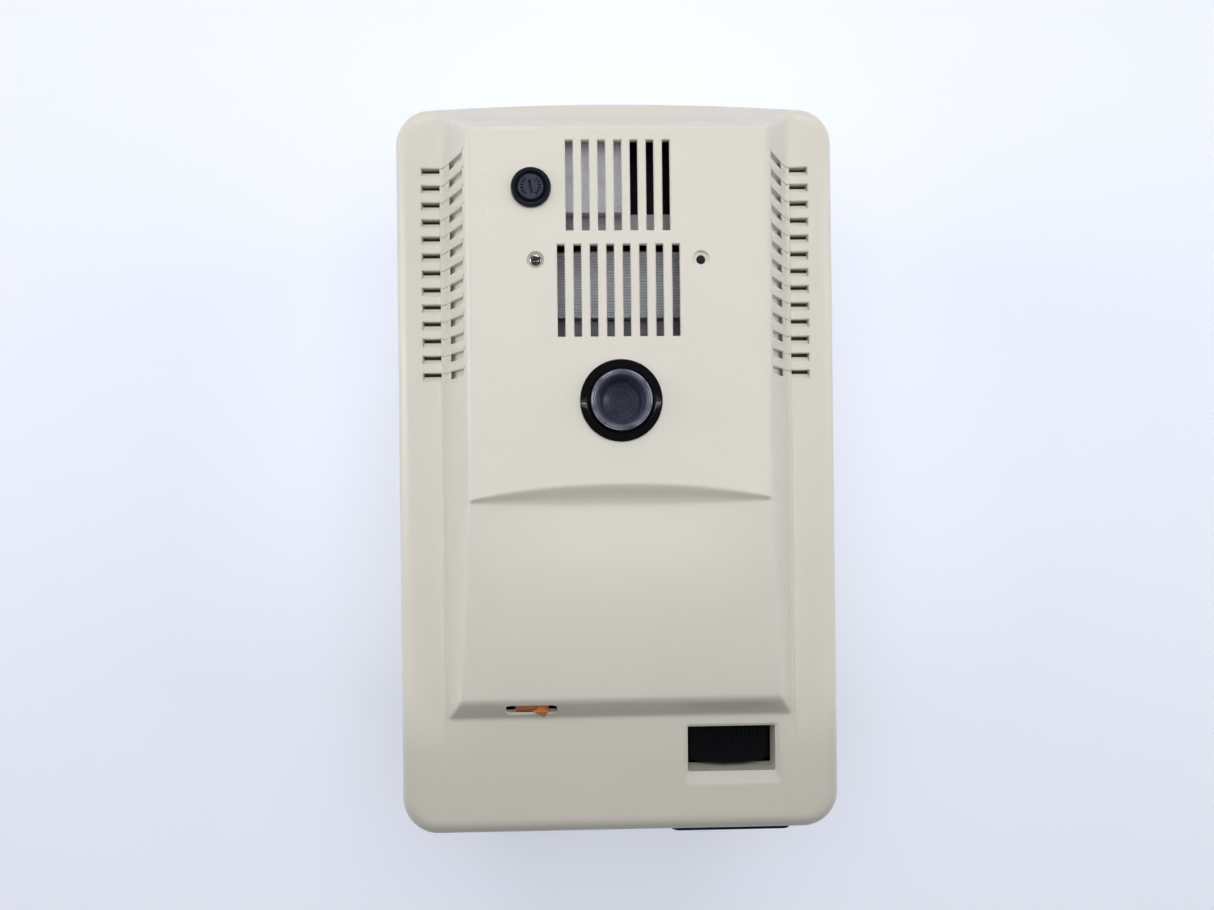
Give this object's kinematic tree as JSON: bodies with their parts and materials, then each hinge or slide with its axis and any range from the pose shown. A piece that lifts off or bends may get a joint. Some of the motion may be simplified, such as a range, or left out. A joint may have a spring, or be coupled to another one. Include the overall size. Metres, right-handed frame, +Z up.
{
  "type": "laboratory incubator",
  "caption": "Bench-top incubator: beige moulded cover with a vented hump, thumbwheel setting and plugged port, over an insulated chamber with a windowed hinged door.",
  "frame": {"origin": "on the ground, under the centre of the object's box", "axes": "+Z up; -Y is the front with the door; +X is the right-hand side seen from the front; +Y is the longest extent"},
  "size_m": [0.192, 0.3364, 0.2246],
  "materials": {
    "beige_plastic": "fine moulded texture, warm beige, slightly yellowed",
    "black_plastic": "satin black moulding",
    "black_gloss": "polished black",
    "clear_plastic": "clear moulded plastic",
    "steel": "zinc-plated steel",
    "light_metal": "bare aluminium sheet",
    "core_steel": "laminated core edges",
    "stainless": "brushed stainless sheet",
    "orange_plastic": "burnt orange",
    "white_plastic": "plain white",
    "board_green": "solder-masked laminate",
    "coil_tape": "dark grey insulating tape",
    "foam": "rigid foam",
    "foot_rubber": "matt rubber",
    "silicone": "grey silicone",
    "window_glass": "clear pane",
    "fuse_glass": "glass fuse",
    "green_lens": "green lamp lens",
    "amber_lens": "amber lamp lens",
    "hinge_brass": "satin brass",
    "magnet": "bonded magnet"
  },
  "bodies": {
    "casing": {"top_cover": "beige_plastic", "lower_housing": "beige_plastic", "control_panel": "black_plastic", "rocker_housing": "black_plastic", "power_lamp": "green_lens", "heater_lamp": "amber_lens", "mechanism_bracket": "steel", "potentiometer": "black_plastic", "rack_guide": "light_metal", "scale_strip": "white_plastic", "circuit_board": "board_green", "control_relay": "white_plastic", "filter_capacitor": "black_plastic", "heat_sink": "light_metal", "terminal_block": "white_plastic", "chassis_plate": "steel", "transformer_core": "core_steel", "transformer_coil": "coil_tape", "transformer_bracket": "steel", "fan_bracket": "light_metal", "cooling_fan_frame": "black_plastic", "mains_inlet": "black_plastic", "port_tube": "black_gloss", "fuse_holder": "black_plastic", "cover_screw_left": "steel", "cover_post_left": "steel", "cover_post_right": "steel", "foot_front_left": "foot_rubber", "foot_front_right": "foot_rubber", "foot_rear_left": "foot_rubber", "foot_rear_right": "foot_rubber", "insulation": "foam", "chamber_liner": "stainless", "rear_baffle": "stainless", "heater_element": "steel", "circulation_motor": "steel", "temperature_probe": "steel", "shelf": "stainless", "shelf_rail_left": "stainless", "shelf_rail_right": "stainless", "hinge_lower": "hinge_brass", "hinge_upper": "hinge_brass", "strike_plate": "steel"},
    "door": {"door_shell": "beige_plastic", "door_window": "window_glass", "door_liner": "stainless", "door_gasket": "silicone", "door_handle": "black_plastic", "door_magnet": "magnet"},
    "setting_wheel": {"setting_wheel": "black_plastic", "wheel_shaft": "steel"},
    "setting_slider": {"setting_rack": "white_plastic", "setting_pointer": "orange_plastic"},
    "power_rocker": {"power_rocker": "black_gloss"},
    "fuse_cap": {"fuse_cap": "black_plastic", "fuse_link": "fuse_glass"},
    "port_plug": {"port_plug": "clear_plastic"},
    "cooling_impeller": {"cooling_fan_impeller": "black_plastic"},
    "circulation_impeller": {"circulation_impeller": "stainless"}
  },
  "joints": [
    {"name": "door_hinge", "type": "hinge", "parent": "casing", "child": "door", "pos_m": [-0.0844, -0.15843, 0.07], "axis": [0, 0, -1], "range_deg": [0, 120]},
    {"name": "setting_wheel_turn", "type": "hinge", "parent": "casing", "child": "setting_wheel", "pos_m": [0.0482, -0.11813, 0.1575], "axis": [0, 1, 0], "range_deg": [-180, 48]},
    {"name": "setting_slide", "type": "slide", "parent": "casing", "child": "setting_slider", "axis": [1, 0, 0], "range_m": [-0.0127, 0.0035]},
    {"name": "power_rocker_tilt", "type": "hinge", "parent": "casing", "child": "power_rocker", "pos_m": [0.062, -0.15113, 0.166], "axis": [1, 0, 0], "range_deg": [0, 18]},
    {"name": "fuse_cap_turn", "type": "hinge", "parent": "casing", "child": "fuse_cap", "pos_m": [-0.0351, 0.11867, 0.219], "axis": [0, 0, 1], "range_deg": [0, 90]},
    {"name": "port_plug_lift", "type": "slide", "parent": "casing", "child": "port_plug", "axis": [0, 0, 1], "range_m": [0, 0.03]},
    {"name": "cooling_fan_spin", "type": "hinge", "parent": "casing", "child": "cooling_impeller", "pos_m": [0.015, 0.13257, 0.174], "axis": [1, 0, 0], "continuous": true},
    {"name": "circulation_fan_spin", "type": "hinge", "parent": "casing", "child": "circulation_impeller", "pos_m": [0, 0.09137, 0.07], "axis": [0, 1, 0], "continuous": true}
  ],
  "couplings": [
    {"joint": "setting_slide", "follows": "setting_wheel_turn", "m_per_rad": 0.004}
  ]
}
